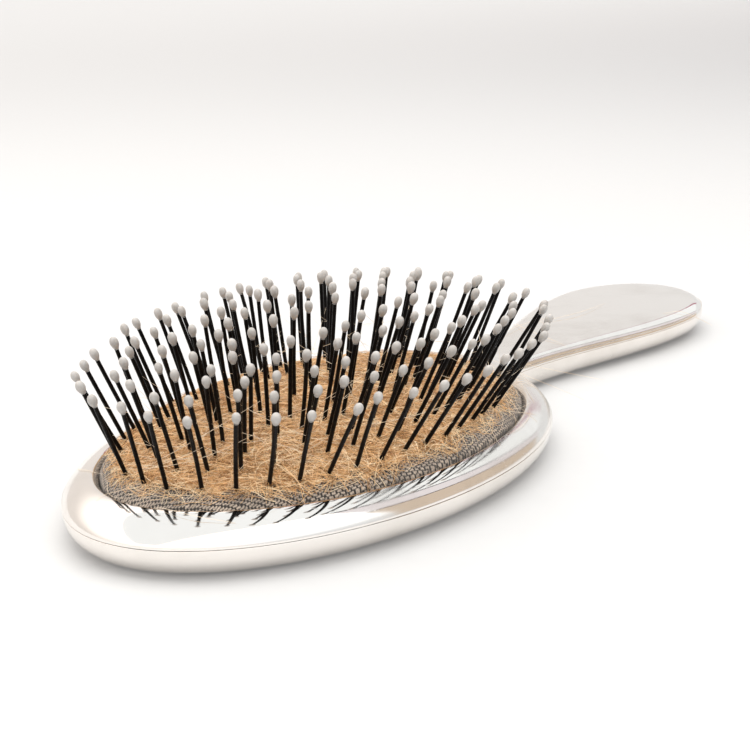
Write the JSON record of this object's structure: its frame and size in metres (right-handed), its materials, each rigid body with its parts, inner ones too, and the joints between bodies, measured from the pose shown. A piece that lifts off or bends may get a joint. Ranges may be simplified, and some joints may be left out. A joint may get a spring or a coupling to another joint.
{
  "type": "bristle brush",
  "caption": "Oval air-cushion grooming brush with a leaf-shaped handle, ball-tipped pins on a woven rubber pad and a mirror-plated two-part shell.",
  "frame": {"origin": "on the flat of the back, under the middle of the oval head", "axes": "+X from the head towards the handle, +Z from the back towards the pin tips, +Y to the brush's left"},
  "size_m": [0.228, 0.0794, 0.0356],
  "materials": {
    "plated_shell": "mirror-plated plastic with fine wipe marks",
    "clamp_plastic": "plain moulded black plastic",
    "cushion_canvas": "fine charcoal twill, rubberised",
    "cushion_rubber": "matte black natural rubber",
    "pin_nylon": "semi-gloss black nylon",
    "tip_resin": "matte off-white resin"
  },
  "bodies": {
    "body": {"front_shell": "plated_shell", "back_shell": "plated_shell", "pad_clamp_ring": "clamp_plastic", "pad_canvas": "cushion_canvas", "pad_rubber": "cushion_rubber"},
    "bristle_ring_1": {"pins_ring_1_left": "pin_nylon", "pins_ring_1_right": "pin_nylon", "tips_ring_1_left": "tip_resin", "tips_ring_1_right": "tip_resin"},
    "bristle_ring_2": {"pins_ring_2_left": "pin_nylon", "pins_ring_2_right": "pin_nylon", "tips_ring_2_left": "tip_resin", "tips_ring_2_right": "tip_resin"},
    "bristle_ring_3": {"pins_ring_3_left": "pin_nylon", "pins_ring_3_right": "pin_nylon", "tips_ring_3_left": "tip_resin", "tips_ring_3_right": "tip_resin"},
    "bristle_ring_4": {"pins_ring_4_left": "pin_nylon", "pins_ring_4_right": "pin_nylon", "tips_ring_4_left": "tip_resin", "tips_ring_4_right": "tip_resin"},
    "bristle_ring_5": {"pins_ring_5_left": "pin_nylon", "pins_ring_5_right": "pin_nylon", "tips_ring_5_left": "tip_resin", "tips_ring_5_right": "tip_resin"}
  },
  "joints": [
    {"name": "cushion_press", "type": "slide", "parent": "body", "child": "bristle_ring_5", "axis": [0, 0, -1], "range_m": [0, 0.003], "stiffness_N_per_m": 1000, "deforming": ["pad_canvas", "pad_rubber"]},
    {"name": "ring_4_press", "type": "slide", "parent": "body", "child": "bristle_ring_4", "axis": [0, 0, -1], "range_m": [0, 0.00286], "stiffness_N_per_m": 1100},
    {"name": "ring_3_press", "type": "slide", "parent": "body", "child": "bristle_ring_3", "axis": [0, 0, -1], "range_m": [0, 0.00261], "stiffness_N_per_m": 1200},
    {"name": "ring_2_press", "type": "slide", "parent": "body", "child": "bristle_ring_2", "axis": [0, 0, -1], "range_m": [0, 0.00222], "stiffness_N_per_m": 1300},
    {"name": "ring_1_press", "type": "slide", "parent": "body", "child": "bristle_ring_1", "axis": [0, 0, -1], "range_m": [0, 0.00159], "stiffness_N_per_m": 1400}
  ],
  "couplings": [
    {"joint": "ring_4_press", "follows": "cushion_press", "ratio": 0.948},
    {"joint": "ring_3_press", "follows": "cushion_press", "ratio": 0.863},
    {"joint": "ring_2_press", "follows": "cushion_press", "ratio": 0.735},
    {"joint": "ring_1_press", "follows": "cushion_press", "ratio": 0.524}
  ]
}
